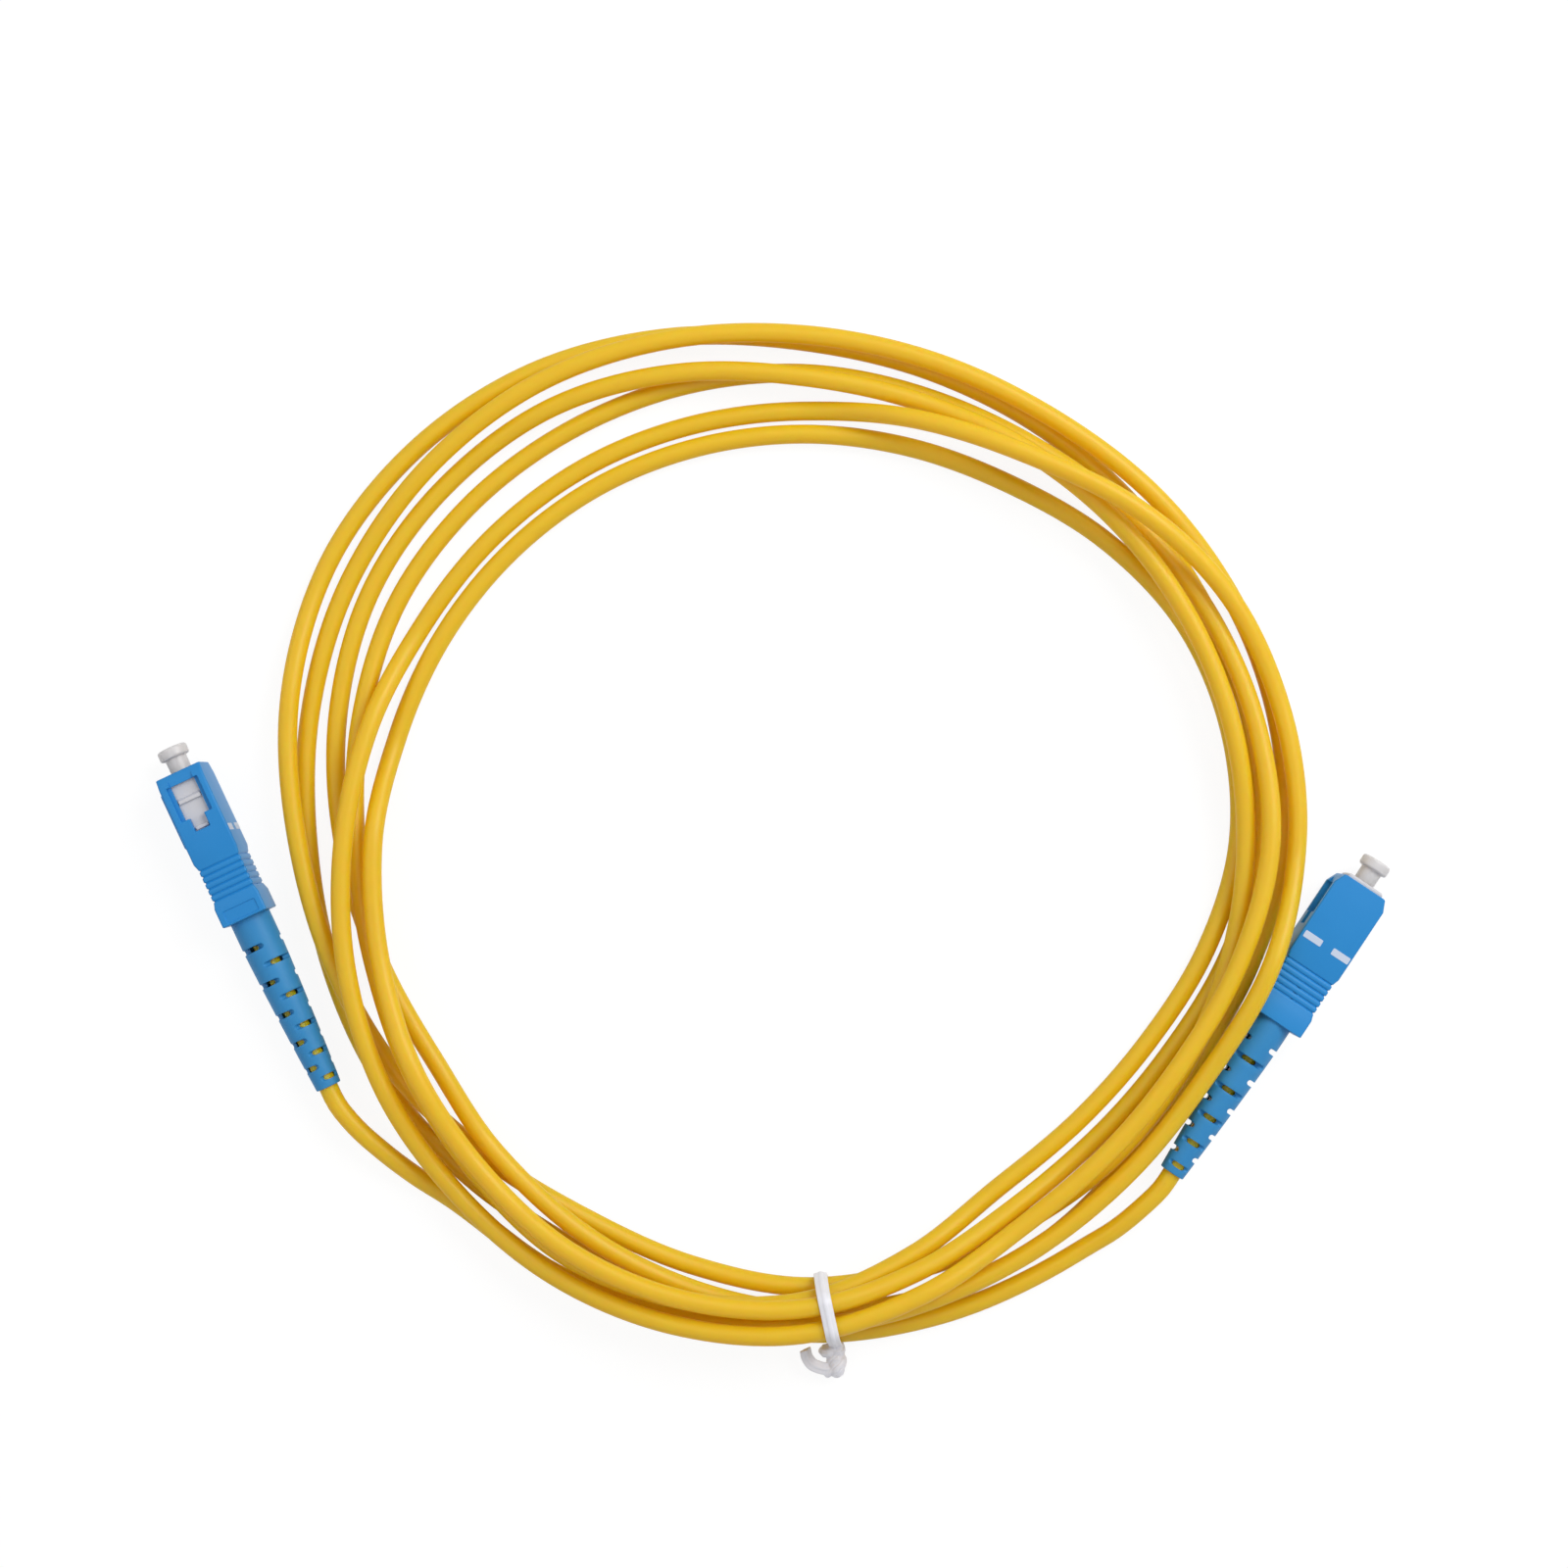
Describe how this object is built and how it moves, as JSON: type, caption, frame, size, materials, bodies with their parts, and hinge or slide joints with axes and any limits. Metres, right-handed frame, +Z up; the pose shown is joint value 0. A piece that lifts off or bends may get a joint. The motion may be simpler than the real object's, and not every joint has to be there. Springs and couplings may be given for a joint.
{
  "type": "fiber optic patch cord",
  "caption": "Simplex fiber optic patch cord with a square push-pull connector, slotted bend boot and dust cap on each end, wound into a coil held by a twist tie.",
  "frame": {"origin": "on the surface that the cord lies on, at the middle of the footprint of the two connectors and the twist tie", "axes": "+X to the right, from connector a to connector b; +Y away from the twist tie, across the coil; +Z up"},
  "size_m": [0.1914, 0.1642, 0.013],
  "materials": {
    "grip_plastic": "satin moulded",
    "boot_plastic": "satin moulded, flexible",
    "frame_plastic": "satin moulded",
    "ferrule_ceramic": "polished",
    "flange_metal": "turned",
    "spring_steel": "drawn wire",
    "post_brass": "turned",
    "sleeve_metal": "plain",
    "buffer_plastic": "extruded",
    "cable_jacket": "satin extruded, flexible",
    "cap_plastic": "translucent moulded",
    "tie_plastic": "satin extruded"
  },
  "bodies": {
    "root": {"plug_frame_a": "frame_plastic", "spring_a": "spring_steel", "back_post_a": "post_brass", "crimp_sleeve_a": "sleeve_metal", "fibre_buffer_a": "buffer_plastic", "boot_a": "boot_plastic", "plug_frame_b": "frame_plastic", "spring_b": "spring_steel", "back_post_b": "post_brass", "crimp_sleeve_b": "sleeve_metal", "fibre_buffer_b": "buffer_plastic", "boot_b": "boot_plastic", "cable_lead_a": "cable_jacket", "cable_coil": "cable_jacket", "cable_lead_b": "cable_jacket", "twist_tie": "tie_plastic"},
    "grip_a": {"grip_a": "grip_plastic"},
    "ferrule_a": {"ferrule_a": "ferrule_ceramic", "ferrule_flange_a": "flange_metal"},
    "dust_cap_a": {"dust_cap_a": "cap_plastic"},
    "grip_b": {"grip_b": "grip_plastic"},
    "ferrule_b": {"ferrule_b": "ferrule_ceramic", "ferrule_flange_b": "flange_metal"},
    "dust_cap_b": {"dust_cap_b": "cap_plastic"}
  },
  "joints": [
    {"name": "grip_a_slide", "type": "slide", "parent": "root", "child": "grip_a", "axis": [-0.4226, 0.9063, 0], "range_m": [-0.002, 0]},
    {"name": "ferrule_a_float", "type": "slide", "parent": "root", "child": "ferrule_a", "axis": [-0.4226, 0.9063, 0], "range_m": [-0.0015, 0], "stiffness_N_per_m": 2000, "deforming": ["spring_a"]},
    {"name": "dust_cap_a_pull", "type": "slide", "parent": "ferrule_a", "child": "dust_cap_a", "axis": [-0.4226, 0.9063, 0], "range_m": [0, 0.012]},
    {"name": "grip_b_slide", "type": "slide", "parent": "root", "child": "grip_b", "axis": [0.5519, 0.8339, 0], "range_m": [-0.00135, 0.00065]},
    {"name": "ferrule_b_float", "type": "slide", "parent": "root", "child": "ferrule_b", "axis": [0.5519, 0.8339, 0], "range_m": [-0.0015, 0], "stiffness_N_per_m": 2000, "deforming": ["spring_b"]},
    {"name": "dust_cap_b_pull", "type": "slide", "parent": "ferrule_b", "child": "dust_cap_b", "axis": [0.5519, 0.8339, 0], "range_m": [0, 0.012]}
  ]
}
